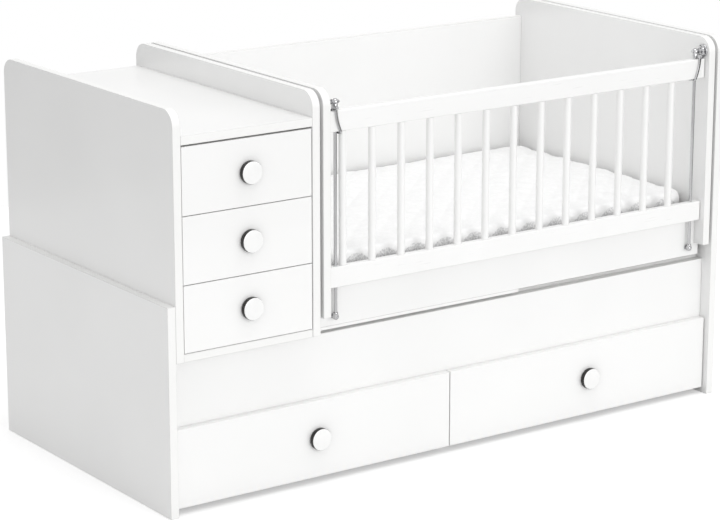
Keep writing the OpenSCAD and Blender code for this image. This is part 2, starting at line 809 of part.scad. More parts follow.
// Latches, drawn for the left rod with the crib's middle to the right
eye_wall = 2.5;
eye_radius = pin_diameter / 2 + eye_wall;
strip_back = rail_setback - moving_gap;
hook_steps = 8;
hook_left = -hook_offset - hook_width / 2;
hook_shift = foot_left - hook_left;
bend_rise = 1;
bend_height = top_rail_bottom + bend_rise;
bend_centre = strip_back + bend_radius;
bend_outer = bend_radius + hook_thickness;
foot_height = bend_height - bend_outer + hook_thickness / 2;
foot_end = rail_back - hook_foot_short;
foot_bead = 1.5;
function hook_x(t) = hook_left + hook_shift * t * t;
function hook_z(t) = hook_pin_height + (bend_height - hook_pin_height) * t;
module at_latch(side) {
    x = side > 0 ? rod_places[0] : rod_places[1];
    translate([x, 0, 0]) scale_side(side) children();
}
module scale_side(side) {
    if (side > 0) children();
    else mirror([1, 0, 0]) children();
}
// A lever down the rail's front that sweeps towards the crib's middle, and a foot under the rail
module lever() {
    steps = [for (k = [0 : hook_steps]) k / hook_steps];
    translate([0, strip_back, 0])
        rotate([90, 0, 0])
            linear_extrude(hook_thickness)
                polygon(concat([for (t = steps) [hook_x(t), hook_z(t)]],
                    [for (t = steps) [hook_x(1 - t) + hook_width, hook_z(1 - t)]]));
}
module bend() {
    translate([foot_left, bend_centre, bend_height])
        rotate([90, 0, 90])
            intersection() {
                difference() {
                    cylinder(r = bend_outer, h = hook_width);
                    translate([0, 0, -over]) cylinder(r = bend_radius, h = hook_width + 2 * over);
                }
                translate([-bend_outer - over, -bend_outer - over, 0])
                    cube([bend_outer + over, bend_outer + over, hook_width]);
            }
}
module hook() {
    difference() {
        union() {
            lever();
            translate([hook_left, hook_pin_depth, hook_pin_height])
                rotate([0, 90, 0])
                    cylinder(r = eye_radius, h = hook_width);
        }
        translate([hook_left - over, hook_pin_depth, hook_pin_height])
            rotate([0, 90, 0])
                cylinder(d = pin_diameter + 2 * running, h = hook_width + 2 * over, $fn = 32);
    }
    bend();
    block([foot_left, bend_centre, foot_height - hook_thickness / 2],
        [foot_left + hook_width, foot_end, foot_height + hook_thickness / 2]);
    translate([foot_left, foot_end, foot_height])
        rotate([0, 90, 0])
            cylinder(d = hook_thickness + foot_bead, h = hook_width, $fn = 32);
}
module left_latch_hook() in_place() color(steel) at_latch(1) hook();
module right_latch_hook() in_place() color(steel) at_latch(-1) hook();
lug_thickness = 2.5;
lug_gap = 0.5;
lug_right = hook_left - lug_gap;
bracket_length = 13;
plate_thickness = 2;
plate_inset = 1;
plate_screw = 5;
pin_head = 1.5;
pin_head_diameter = pin_diameter + 3;
module latch_bracket() {
    lug_left = lug_right - lug_thickness;
    pin_end = hook_left + hook_width + lug_gap;
    difference() {
        union() {
            block([lug_left, hook_pin_depth - eye_radius, top_rail_top + plate_thickness],
                [lug_right, rail_middle, hook_pin_height + eye_radius]);
            block([lug_right - bracket_length, rail_setback + plate_inset, top_rail_top],
                [lug_right, rail_back - plate_inset, top_rail_top + plate_thickness]);
        }
        translate([lug_left - over, hook_pin_depth, hook_pin_height])
            rotate([0, 90, 0])
                cylinder(d = pin_diameter + 2 * snug, h = lug_thickness + 2 * over, $fn = 32);
    }
    translate([lug_left, hook_pin_depth, hook_pin_height])
        rotate([0, 90, 0])
            cylinder(d = pin_diameter, h = pin_end - lug_left, $fn = 32);
    translate([pin_end, hook_pin_depth, hook_pin_height])
        rotate([0, 90, 0])
            cylinder(d = pin_head_diameter, h = pin_head, $fn = 32);
    translate([lug_left - plate_screw, rail_middle, top_rail_top + plate_thickness])
        cylinder(d = plate_screw, h = pin_head, $fn = 24);
}
module latch_brackets() in_place() color(steel) {
    at_latch(1) latch_bracket();
    at_latch(-1) latch_bracket();
}

base_left_end();
base_right_end();
base_front_board();
base_back_board();
base_divider();
base_deck();
deck_battens();
base_runners();
chest_left_side();
chest_right_side();
chest_top();
chest_bottom();
chest_back();
chest_runners();
crib_left_end();
crib_right_end();
crib_back_panel();
crib_apron();
crib_frame();
crib_skids();
slat_battens();
slats();
mattress();
guide_rods();
rod_top_brackets();
rod_feet();
dowels();
top_rail();
bottom_rail();
side_bars();
rail_bushes();
latch_brackets();
left_latch_hook();
right_latch_hook();
for (i = [0 : len(drawer_names) - 1]) {
    drawer_front(i);
    drawer_box(i);
    drawer_slides(i);
    knob_base(i);
    knob_cap(i);
}
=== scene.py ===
import math
import bmesh
import bpy
from mathutils import Matrix, Vector, noise


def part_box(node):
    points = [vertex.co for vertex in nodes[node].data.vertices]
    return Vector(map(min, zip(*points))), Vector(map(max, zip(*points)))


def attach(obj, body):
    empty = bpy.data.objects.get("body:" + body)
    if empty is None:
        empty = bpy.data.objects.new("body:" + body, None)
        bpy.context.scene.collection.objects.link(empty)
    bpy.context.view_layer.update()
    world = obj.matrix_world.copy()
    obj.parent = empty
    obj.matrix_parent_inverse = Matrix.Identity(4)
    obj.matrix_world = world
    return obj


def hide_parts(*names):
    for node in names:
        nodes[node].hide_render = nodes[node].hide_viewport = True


# Convertible crib in white board: bed base with two drawers, chest of three drawers, crib with a drop
# side on chrome rods, and its mattress. Metres, floor at z = 0, drawers towards -Y.

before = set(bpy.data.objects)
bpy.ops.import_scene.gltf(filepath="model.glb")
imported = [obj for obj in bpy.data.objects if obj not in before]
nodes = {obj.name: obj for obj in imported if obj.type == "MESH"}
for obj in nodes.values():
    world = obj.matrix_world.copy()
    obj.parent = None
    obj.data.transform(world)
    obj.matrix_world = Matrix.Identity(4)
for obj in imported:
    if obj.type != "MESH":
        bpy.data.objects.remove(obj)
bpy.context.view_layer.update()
scene = bpy.context.scene
print("frame loaded,", len(nodes), "nodes")

# camera, fitted to the photograph's straight edges
view = {
    "place": (-3.8727, -5.4665, 2.2060),
    "yaw": 35.09,          # degrees to the right of +Y
    "pitch": -14.96,
    "lens": 131.91,
    "sensor": 36.0,
}


def makeCamera():
    data = bpy.data.cameras.new("photoCamera")
    data.sensor_fit = "HORIZONTAL"
    data.sensor_width = view["sensor"]
    data.lens = view["lens"]
    data.clip_start = 0.1
    data.clip_end = 60
    camera = bpy.data.objects.new("photoCamera", data)
    scene.collection.objects.link(camera)
    camera.location = view["place"]
    camera.rotation_euler = (math.radians(90 + view["pitch"]), 0, math.radians(-view["yaw"]))
    scene.camera = camera


makeCamera()

# finishes


def feed(tree, socket, value):
    # a value is a number, a colour or another node's output
    if isinstance(value, bpy.types.NodeSocket):
        tree.links.new(value, socket)
    else:
        socket.default_value = value


def addNode(tree, kind, inputs, **settings):
    node = tree.nodes.new("ShaderNode" + kind)
    for key, value in settings.items():
        setattr(node, key, value)
    for key, value in inputs.items():
        feed(tree, node.inputs[key], value)
    return node


def calc(tree, operation, *values):
    node = addNode(tree, "Math", {}, operation=operation)
    for socket, value in zip(node.inputs, values):
        feed(tree, socket, value)
    return node.outputs[0]


def newFinish(name):
    mat = bpy.data.materials.new(name)
    mat.use_nodes = True
    tree = mat.node_tree
    tree.nodes.clear()
    shader = addNode(tree, "BsdfPrincipled", {})
    addNode(tree, "OutputMaterial", {"Surface": shader.outputs[0]})
    return mat, tree, shader


def dress(tree, shader, inputs):
    for key, value in inputs.items():
        feed(tree, shader.inputs[key], value)


def place(tree, stretch=(1, 1, 1)):
    # object coordinates in metres, stretched for a grain
    coord = addNode(tree, "TexCoord", {})
    mapping = addNode(tree, "Mapping", {"Scale": stretch, "Vector": coord.outputs["Object"]})
    return mapping.outputs["Vector"]


def stretched(axis, share):
    # scales of a pattern that is drawn out along one axis
    return [share if i == axis else 1.0 for i in range(3)]


def noiseAt(tree, where, scale, detail=3.0, rough=0.5):
    node = addNode(tree, "TexNoise", {"Scale": scale, "Detail": detail, "Roughness": rough,
                                      "Vector": where})
    return node.outputs["Fac"]


def mixColour(tree, factor, first, second):
    node = addNode(tree, "Mix", {"Factor": factor}, data_type="RGBA")
    colours = [socket for socket in node.inputs if socket.type == "RGBA"]
    for socket, value in zip(colours, (first, second)):
        feed(tree, socket, value)
    return [socket for socket in node.outputs if socket.type == "RGBA"][0]


def ramp(tree, factor, stops):
    node = addNode(tree, "ValToRGB", {"Fac": factor})
    band = node.color_ramp
    while len(band.elements) < len(stops):
        band.elements.new(0.5)
    for element, (position, colour) in zip(band.elements, stops):
        element.position = position
        element.color = (*colour, 1)
    return node.outputs["Color"]


def toned(tree, factor, look):
    # between a look's two colours
    return ramp(tree, factor, [(0.3, look["low"]), (0.7, look["high"])])


def spread(tree, factor, low, high):
    return addNode(tree, "MapRange", {"Value": factor, "To Min": low, "To Max": high}).outputs["Result"]


def bump(tree, heights):
    # heights: pairs of (height output, depth in metres), one bump after the other
    last = None
    for height, depth in heights:
        node = addNode(tree, "Bump", {"Strength": 1.0, "Distance": depth, "Height": height})
        if last:
            tree.links.new(last, node.inputs["Normal"])
        last = node.outputs["Normal"]
    return last


def boardFinish(name, look):
    mat, tree, shader = newFinish(name)
    where = place(tree)
    cloud = noiseAt(tree, where, look["cloudScale"], 2.0)
    grain = noiseAt(tree, where, look["grainScale"], 2.0)
    pore = noiseAt(tree, where, look["grainScale"] * 3, 1.0)
    dress(tree, shader, {
        "Base Color": toned(tree, cloud, look),
        "Roughness": spread(tree, cloud, *look["roughness"]),
        "Normal": bump(tree, [(grain, look["grainDepth"]), (pore, look["grainDepth"] * 0.4)]),
        "Specular IOR Level": look["specular"],
        "Coat Weight": look["coat"],
        "Coat Roughness": look["coatRoughness"],
    })
    return mat


boardLook = {
    "cloudScale": 2.4,
    "grainScale": 900,
    "grainDepth": 0.000012,    # metres, as every depth below
    "low": (0.845, 0.845, 0.84),
    "high": (0.875, 0.875, 0.87),
    "roughness": (0.30, 0.38),
    "specular": 0.5,
    "coat": 0.25,
    "coatRoughness": 0.12,
}
glossLook = dict(boardLook, low=(0.865, 0.865, 0.86), high=(0.885, 0.885, 0.88),
                 grainDepth=0.000006, roughness=(0.16, 0.22), coat=0.6, coatRoughness=0.05)
bandLook = dict(boardLook, grainScale=400, grainDepth=0.000008, roughness=(0.26, 0.32),
                low=(0.85, 0.85, 0.84), high=(0.87, 0.87, 0.86))
# the eased arris: darker than the band, painted shade along every eased edge
arrisShadeLook = dict(bandLook, low=(0.70, 0.70, 0.69), high=(0.78, 0.78, 0.77), roughness=(0.4, 0.5))
foilLook = dict(boardLook, low=(0.74, 0.74, 0.735), high=(0.79, 0.79, 0.785), grainScale=1500,
                grainDepth=0.00003, roughness=(0.5, 0.6), coat=0.0, specular=0.35)


def woodFinish(name, look, axis):
    # planed softwood: growth rings stretched along the length, finer pores, a little figure
    mat, tree, shader = newFinish(name)
    where = place(tree, stretched(axis, look["stretch"]))
    figure = noiseAt(tree, where, look["figureScale"], 4.0, 0.55)
    rings = addNode(tree, "TexWave", {"Scale": look["ringScale"], "Distortion": look["distortion"],
                                      "Detail": 3, "Vector": where},
                    wave_type="BANDS", bands_direction="Z")
    pores = noiseAt(tree, where, look["poreScale"], 3.0)
    figured = calc(tree, "MULTIPLY", rings.outputs["Fac"], figure)
    dress(tree, shader, {
        "Base Color": ramp(tree, figured, [(0.05, look["early"]), (0.55, look["late"])]),
        "Roughness": spread(tree, pores, *look["roughness"]),
        "Normal": bump(tree, [(figured, look["ringDepth"]), (pores, look["poreDepth"])]),
        "Specular IOR Level": look["specular"],
    })
    return mat


woodLook = {
    "stretch": 0.06,
    "figureScale": 26,
    "ringScale": 20,
    "distortion": 5,
    "poreScale": 700,
    "poreDepth": 0.00006,
    "ringDepth": 0.00008,
    "early": (0.72, 0.55, 0.35),
    "late": (0.60, 0.42, 0.24),
    "roughness": (0.5, 0.68),
    "specular": 0.35,
}

lacquerLook = {
    "low": (0.865, 0.865, 0.86),
    "high": (0.885, 0.885, 0.88),
    "roughness": (0.24, 0.34),
    "cloudScale": 6,
    "stretch": 0.05,
    "grainScale": 240,
    "grainDepth": 0.00002,
    "coat": 0.35,
    "coatRoughness": 0.1,
}


def lacquerFinish(name, look, axis):
    # white lacquer over wood: the grain still shows as a faint relief along the length
    mat, tree, shader = newFinish(name)
    grain = noiseAt(tree, place(tree, stretched(axis, look["stretch"])), look["grainScale"], 4.0)
    cloud = noiseAt(tree, place(tree), look["cloudScale"], 2.0)
    dress(tree, shader, {
        "Base Color": toned(tree, cloud, look),
        "Roughness": spread(tree, grain, *look["roughness"]),
        "Normal": bump(tree, [(grain, look["grainDepth"])]),
        "Coat Weight": look["coat"],
        "Coat Roughness": look["coatRoughness"],
    })
    return mat


chromeLook = {
    "low": (0.60, 0.60, 0.61),
    "high": (0.68, 0.68, 0.69),
    "roughness": (0.03, 0.08),
    "hazeScale": 18,
    "stretch": (1, 1, 1),
    "markScale": 300,
    "markDepth": 0.000004,
    "rim": 0.0,            # tint of grazing reflections
}
zincLook = dict(chromeLook, low=(0.52, 0.53, 0.55), high=(0.62, 0.63, 0.64), roughness=(0.28, 0.45),
                stretch=(1, 0.03, 1), markScale=900, markDepth=0.00001, rim=1.0)


def metalFinish(name, look):
    mat, tree, shader = newFinish(name)
    where = place(tree, look["stretch"])
    haze = noiseAt(tree, place(tree), look["hazeScale"], 3.0)
    marks = noiseAt(tree, where, look["markScale"], 4.0, 0.6)
    dress(tree, shader, {
        "Base Color": toned(tree, haze, look),
        "Roughness": spread(tree, marks, *look["roughness"]),
        "Normal": bump(tree, [(marks, look["markDepth"])]),
        "Metallic": 1.0,
        "Specular Tint": (look["rim"], look["rim"], look["rim"], 1),
    })
    return mat


mouldedLook = {
    "cloudScale": 60,
    "fineDepth": 0.00002,
    "coat": 0.0,
    "coatRoughness": 0.06,
    "specular": 0.5,
    "subsurface": 0.0,
    "subsurfaceDepth": 0.004,
}
nylonLook = dict(mouldedLook, low=(0.74, 0.74, 0.71), high=(0.80, 0.80, 0.77), roughness=(0.4, 0.55),
                 subsurface=0.15)
knobBodyLook = dict(mouldedLook, low=(0.010, 0.009, 0.009), high=(0.020, 0.018, 0.017),
                    roughness=(0.34, 0.46), specular=0.25)
knobFaceLook = dict(mouldedLook, low=(0.86, 0.86, 0.855), high=(0.88, 0.88, 0.875),
                    roughness=(0.12, 0.18), coat=0.5)


def mouldedFinish(name, look):
    mat, tree, shader = newFinish(name)
    where = place(tree)
    cloud = noiseAt(tree, where, look["cloudScale"], 3.0)
    fine = noiseAt(tree, where, look["cloudScale"] * 25, 2.0)
    dress(tree, shader, {
        "Base Color": toned(tree, cloud, look),
        "Roughness": spread(tree, cloud, *look["roughness"]),
        "Normal": bump(tree, [(fine, look["fineDepth"])]),
        "Coat Weight": look["coat"],
        "Coat Roughness": look["coatRoughness"],
        "Specular IOR Level": look["specular"],
    })
    if look["subsurface"]:
        dress(tree, shader, {"Subsurface Weight": look["subsurface"],
                             "Subsurface Scale": look["subsurfaceDepth"]})
    return mat


mattressLow, mattressHigh = (Vector(corner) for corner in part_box("mattress"))
mattressMiddle = (mattressLow + mattressHigh) / 2
mattressSize = mattressHigh - mattressLow
quilting = {
    "corner": 0.049,           # of each side, left out before the first channel
    "along": 12,               # channels along a long side, and along a short one
    "across": 7,
    "seam": 0.066,             # lowest places of the border's upper edge, above the underside
    "scallop": 0.038,          # how far that edge rises in the middle of a puff
    "scallopPower": 0.6,
    "shift": -0.023,           # of the pattern along the mattress
}
quiltPitch = [(mattressSize.x - 2 * quilting["corner"]) / quilting["along"],
              (mattressSize.y - 2 * quilting["corner"]) / quilting["across"]]
tickingLook = {
    "threadScale": 1300,       # woven threads
    "threadStretch": 0.12,
    "threadDepth": 0.00010,
    "puckerScale": 95,         # puckers drawn up by the stitching
    "puckerDepth": 0.0009,
    "low": (0.885, 0.885, 0.885),
    "high": (0.93, 0.93, 0.93),
    "motifScale": 190,         # embossed pattern of the border
    "motifDepth": 0.0009,
    # the border's two tones: its printed pattern, with painted shade of the rail and bars in front of it
    "borderPrintShadeLow": (0.66, 0.66, 0.665),
    "borderPrintShadeHigh": (0.88, 0.88, 0.88),
    "ragged": 0.006,           # how far the pattern breaks up the border's edge
    "fade": (-0.0005, 0.002),  # the border fades in between these depths below its edge
    "contrast": (0.44, 0.56),  # levels of the pattern that take its two tones
    "roughness": (0.75, 0.92),
    "specular": 0.2,
    "sheen": 0.25,
    "sheenRoughness": 0.5,
}


def borderPrintAndShade(tree, motif, look):
    # 1 on the border, where the print and the painted shade go, and 0 above its scalloped edge, which is
    # highest in the middle of each puff
    coord = addNode(tree, "TexCoord", {})
    spot = addNode(tree, "SeparateXYZ", {"Vector": coord.outputs["Object"]}).outputs
    geometry = addNode(tree, "NewGeometry", {})
    facing = addNode(tree, "SeparateXYZ", {"Vector": geometry.outputs["Normal"]}).outputs
    rows = [("X", mattressMiddle.x + quilting["shift"], quiltPitch[0], 0.0),
            ("Y", mattressMiddle.y, quiltPitch[1], math.pi / 2)]
    scallops = []
    for axis, middle, pitch, turn in rows:
        phase = calc(tree, "MULTIPLY_ADD", spot[axis], math.pi / pitch, -math.pi * middle / pitch + turn)
        arch = calc(tree, "ABSOLUTE", calc(tree, "COSINE", phase))
        scallops.append(calc(tree, "POWER", arch, quilting["scallopPower"]))
    onEnd = calc(tree, "GREATER_THAN", calc(tree, "ABSOLUTE", facing["X"]), 0.7)
    onSide = calc(tree, "MULTIPLY", scallops[0], calc(tree, "SUBTRACT", 1.0, onEnd))
    wave = calc(tree, "MULTIPLY_ADD", scallops[1], onEnd, onSide)
    edge = calc(tree, "MULTIPLY_ADD", wave, quilting["scallop"], mattressLow.z + quilting["seam"])
    ragged = calc(tree, "MULTIPLY_ADD", motif, look["ragged"], edge)
    below = calc(tree, "SUBTRACT", ragged, spot["Z"])
    shallow, deep = look["fade"]
    return addNode(tree, "MapRange", {"Value": below, "From Min": shallow,
                                      "From Max": deep}).outputs["Result"]


def tickingFinish(name, look):
    # white ticking on top, a mottled embossed fabric round the border, its darker tones part print and
    # part painted shade
    mat, tree, shader = newFinish(name)
    where = place(tree)
    puckers = noiseAt(tree, where, look["puckerScale"], 3.0, 0.6)
    motif = noiseAt(tree, where, look["motifScale"], 3.0, 0.65)
    cells = addNode(tree, "TexVoronoi", {"Scale": look["motifScale"], "Smoothness": 0.5, "Vector": where},
                    feature="SMOOTH_F1")
    threads = [noiseAt(tree, place(tree, stretched(axis, look["threadStretch"])), look["threadScale"], 1.0)
               for axis in (0, 1)]
    weave = calc(tree, "MAXIMUM", *threads)
    border = borderPrintAndShade(tree, motif, look)
    plain = toned(tree, puckers, look)
    # print and painted shade on the border: the pattern's low levels take the darker tone
    printedAndShaded = ramp(tree, motif, list(zip(look["contrast"], (look["borderPrintShadeLow"], look["borderPrintShadeHigh"]))))
    raised = calc(tree, "MULTIPLY", cells.outputs["Distance"], border)
    dress(tree, shader, {
        "Base Color": mixColour(tree, border, plain, printedAndShaded),
        "Roughness": spread(tree, weave, *look["roughness"]),
        "Normal": bump(tree, [(raised, look["motifDepth"]), (puckers, look["puckerDepth"]),
                              (weave, look["threadDepth"])]),
        "Specular IOR Level": look["specular"],
        "Sheen Weight": look["sheen"],
        "Sheen Roughness": look["sheenRoughness"],
    })
    return mat


finishes = {
    "board": boardFinish("whiteBoard", boardLook),
    "band": boardFinish("edgeBand", bandLook),
    "arris": boardFinish("arrisPaintedShade", arrisShadeLook),
    "front": boardFinish("glossFront", glossLook),
    "foil": boardFinish("foilBoard", foilLook),
    "woodX": woodFinish("pineAlongX", woodLook, 0),
    "woodY": woodFinish("pineAlongY", woodLook, 1),
    "lacquerX": lacquerFinish("railLacquer", lacquerLook, 0),
    "lacquerZ": lacquerFinish("barLacquer", lacquerLook, 2),
    "chrome": metalFinish("chromePlate", chromeLook),
    "zinc": metalFinish("zincSteel", zincLook),
    "nylon": mouldedFinish("nylonBush", nylonLook),
    "knobBody": mouldedFinish("knobBody", knobBodyLook),
    "knobFace": mouldedFinish("knobFace", knobFaceLook),
    "ticking": tickingFinish("quiltedTicking", tickingLook),
}
print("finishes made")

# pieces from the frame's own shapes


def linkPiece(name, mesh, body, replaced=()):
    piece = bpy.data.objects.new(name, mesh)
    scene.collection.objects.link(piece)
    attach(piece, body)
    if replaced:
        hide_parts(*replaced)
    return piece


def copyOf(node):
    # the node's faces, its split vertices joined and its flat faces made whole
    shape = bmesh.new()
    shape.from_mesh(nodes[node].data)
    shape.transform(nodes[node].matrix_world)
    bmesh.ops.remove_doubles(shape, verts=shape.verts, dist=0.00001)
    bmesh.ops.dissolve_limit(shape, angle_limit=math.radians(1), verts=shape.verts, edges=shape.edges)
    return shape


def toMesh(shape, name, looks=()):
    # looks: the finishes of the material slots, in their order
    mesh = bpy.data.meshes.new(name)
    shape.to_mesh(mesh)
    shape.free()
    for look in looks:
        mesh.materials.append(finishes[look])
    return mesh


def applyModifiers(piece):
    bpy.context.view_layer.update()
    shown = piece.evaluated_get(bpy.context.evaluated_depsgraph_get())
    piece.data = bpy.data.meshes.new_from_object(shown)
    piece.modifiers.clear()


def evenMesh(piece, voxel):
    remesh = piece.modifiers.new("even", "REMESH")
    remesh.mode = "VOXEL"
    remesh.voxel_size = voxel


def shadeAll(mesh, look):
    for face in mesh.polygons:
        face.use_smooth = True
    mesh.materials.clear()
    mesh.materials.append(finishes[look])


# widths of the eased edges in metres, and the angle from which an edge counts as sharp
easing = {"segments": 2, "angle": 40, "board": 0.0012, "front": 0.0004, "box": 0.0008, "lug": 0.0004}


def easeEdges(shape, width):
    # rounds the sharp edges and returns the faces that this makes
    sharp = [e for e in shape.edges if len(e.link_faces) == 2
             and e.calc_face_angle(0) > math.radians(easing["angle"])]
    made = bmesh.ops.bevel(shape, geom=sharp, offset=width, segments=easing["segments"],
                           affect="EDGES", profile=0.5)
    for face in shape.faces:
        face.smooth = True
    return set(made["faces"])


def weighNormals(piece):
    piece.modifiers.new("weighted", "WEIGHTED_NORMAL").keep_sharp = True


def easeBoard(node, body, thin, look, width):
    # broad faces in one finish, the edge band in another and the eased arris between them in a third;
    # thin is the axis of the board's thickness
    shape = copyOf(node)
    arrises = easeEdges(shape, width)
    # the arris faces take the darker finish, painted shade along the edges
    for face in shape.faces:
        if face in arrises:
            face.material_index = 2
        else:
            face.material_index = 0 if abs(face.normal[thin]) > 0.9 else 1
    mesh = toMesh(shape, node + "Board", (look, "band", "arris"))
    weighNormals(linkPiece(node + "Board", mesh, body, [node]))


def easePiece(node, body, look, width):
    # a plain piece with its sharp edges eased, in one finish
    shape = copyOf(node)
    easeEdges(shape, width)
    mesh = toMesh(shape, node + "Eased", [look])
    weighNormals(linkPiece(node + "Eased", mesh, body, [node]))


boards = {
    # node: axis of its thickness
    "base_left_end": 0, "base_right_end": 0, "chest_left_side": 0, "chest_right_side": 0,
    "crib_left_end": 0, "crib_right_end": 0, "base_divider": 0,
    "base_front_board": 1, "base_back_board": 1, "crib_back_panel": 1, "crib_apron": 1,
    "chest_top": 2, "chest_bottom": 2,
}
for node, thin in boards.items():
    easeBoard(node, "frame", thin, "board", easing["board"])

drawerNames = ["top_drawer", "middle_drawer", "bottom_drawer", "left_bed_drawer", "right_bed_drawer"]
for name in drawerNames:
    easeBoard(name + "_front", name, 1, "front", easing["front"])
print("boards eased")

eased = {
    # node: slot, finish, width
    "base_deck": ("raw_board", "foil", 0.0008),
    "chest_back": ("raw_board", "foil", 0.0006),
    "crib_frame": ("white_laminate", "board", 0.0012),
    "crib_skids": ("white_laminate", "board", 0.0010),
    "deck_battens": ("bare_wood", "woodX", 0.0020),
    "slat_battens": ("bare_wood", "woodX", 0.0020),
    "slats": ("bare_wood", "woodY", 0.0025),
}
for node, (slot, look, width) in eased.items():
    easePiece(node, "frame", look, width)
for name in drawerNames:
    easePiece(name + "_box", name, "foil", easing["box"])

# what keeps its shape gets a finish of its own
kept = {
    "base_runners": "zinc", "chest_runners": "zinc", "guide_rods": "chrome", "dowels": "woodX",
    "side_bars": "lacquerZ", "rail_bushes": "nylon",
}
for name in drawerNames:
    kept[name + "_slides"] = "zinc"
for node, look in kept.items():
    nodes[node].data.materials.clear()
    nodes[node].data.materials.append(finishes[look])
print("kept nodes finished")

# rails of the drop side
rails = {"edge": 0.0030, "segments": 3}
rodLow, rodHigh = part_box("guide_rods")
bushLow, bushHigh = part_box("rail_bushes")
rodRadius = (rodHigh[1] - rodLow[1]) / 2
rodY = (rodHigh[1] + rodLow[1]) / 2
rodSpots = {"left": rodLow[0] + rodRadius, "right": rodHigh[0] - rodRadius}
bushRadius = (bushHigh[1] - bushLow[1]) / 2


def boreRail(rail, height):
    # through holes for the bushes
    drill = bmesh.new()
    for x in rodSpots.values():
        bmesh.ops.create_cone(drill, cap_ends=True, segments=48, radius1=bushRadius, radius2=bushRadius,
                              depth=0.2, matrix=Matrix.Translation((x, rodY, height)))
    drillPiece = bpy.data.objects.new("drill", toMesh(drill, "drill"))
    scene.collection.objects.link(drillPiece)
    bores = rail.modifiers.new("bores", "BOOLEAN")
    bores.operation = "DIFFERENCE"
    bores.solver = "EXACT"
    bores.object = drillPiece
    applyModifiers(rail)
    bpy.data.objects.remove(drillPiece)


def makeRail(node):
    # a length of planed wood with rounded edges
    low, high = (Vector(corner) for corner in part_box(node))
    shape = bmesh.new()
    bmesh.ops.create_cube(shape, size=1.0)
    for vert in shape.verts:
        vert.co = Vector(((low[i] + high[i]) / 2 + vert.co[i] * (high[i] - low[i]) for i in range(3)))
    bmesh.ops.bevel(shape, geom=list(shape.edges), offset=rails["edge"], segments=rails["segments"],
                    affect="EDGES", profile=0.5)
    for face in shape.faces:
        face.smooth = True
    mesh = toMesh(shape, node + "Wood", ["lacquerX"])
    rail = linkPiece(node + "Wood", mesh, "drop_side", [node])
    boreRail(rail, (low.z + high.z) / 2)
    weighNormals(rail)


for node in ("top_rail", "bottom_rail"):
    makeRail(node)
print("rails made")

# turned pieces, and the latch hooks


def turned(profile, segments, matrix, name, look, body, replaced=()):
    # profile: (radius, height) pairs, turned about the local z axis
    shape = bmesh.new()
    rings = []
    for radius, height in profile:
        count = segments if radius > 1e-7 else 1
        turns = [2 * math.pi * k / segments for k in range(count)]
        rings.append([shape.verts.new((radius * math.cos(turn), radius * math.sin(turn), height))
                      for turn in turns])
    for lower, upper in zip(rings, rings[1:]):
        for k in range(segments):
            following = (k + 1) % segments
            if len(lower) == 1:
                shape.faces.new((lower[0], upper[following], upper[k]))
            elif len(upper) == 1:
                shape.faces.new((lower[k], lower[following], upper[0]))
            else:
                shape.faces.new((lower[k], lower[following], upper[following], upper[k]))
    for face in shape.faces:
        face.smooth = True
    bmesh.ops.recalc_face_normals(shape, faces=shape.faces)
    shape.transform(matrix)
    mesh = toMesh(shape, name, [look])
    mesh.set_sharp_from_angle(angle=math.radians(35))
    linkPiece(name, mesh, body, replaced)


def arcProfile(radius, fromAngle, toAngle, steps, centre=(0, 0)):
    # points of an arc in (radius, height), angles in degrees from the equator
    points = []
    for k in range(steps + 1):
        angle = math.radians(fromAngle + (toAngle - fromAngle) * k / steps)
        points.append((max(0.0, centre[0] + radius * math.cos(angle)),
                       centre[1] + radius * math.sin(angle)))
    return points


def scaled(profile, radius, height=1.0, base=0.0):
    # a profile whose radii are shares of one size, and its heights shares of another, above a base
    return [(share * radius, base + rise * height) for share, rise in profile]


def axisAt(spot, degrees, axis):
    # a local z axis at this spot, turned about a world axis
    return Matrix.Translation(spot) @ Matrix.Rotation(math.radians(degrees), 4, axis)


knob = {
    "segments": 72,
    # insets from the radius, and heights
    "foot": [(0.0025, 0.0), (0.0012, 0.0008), (0.0004, 0.0022)],
    "edge": 0.0012,            # rounding of the body's rim
    "lip": 0.0018,             # flat ring of the body round its face
    "sunk": 0.0002,            # of the body's end, behind the rounding
    "faceRim": [(0.0004, -0.0003), (0.0, 0.0002), (0.0001, 0.00054), (0.0005, 0.0009)],
    "faceEdge": 0.0009,
    "domeSteps": 12,
}
screw = {
    "hole": 0.0021,
    "radius": 0.0044,
    # washer, domed head and its recess: shares of the radius, heights
    "profile": [(1.25, 0.0), (1.25, 0.0006), (1, 0.0007), (1, 0.0012), (0.9, 0.0021), (0.62, 0.0027),
                (0.3, 0.0029), (0.28, 0.0016), (0, 0.0014)],
}


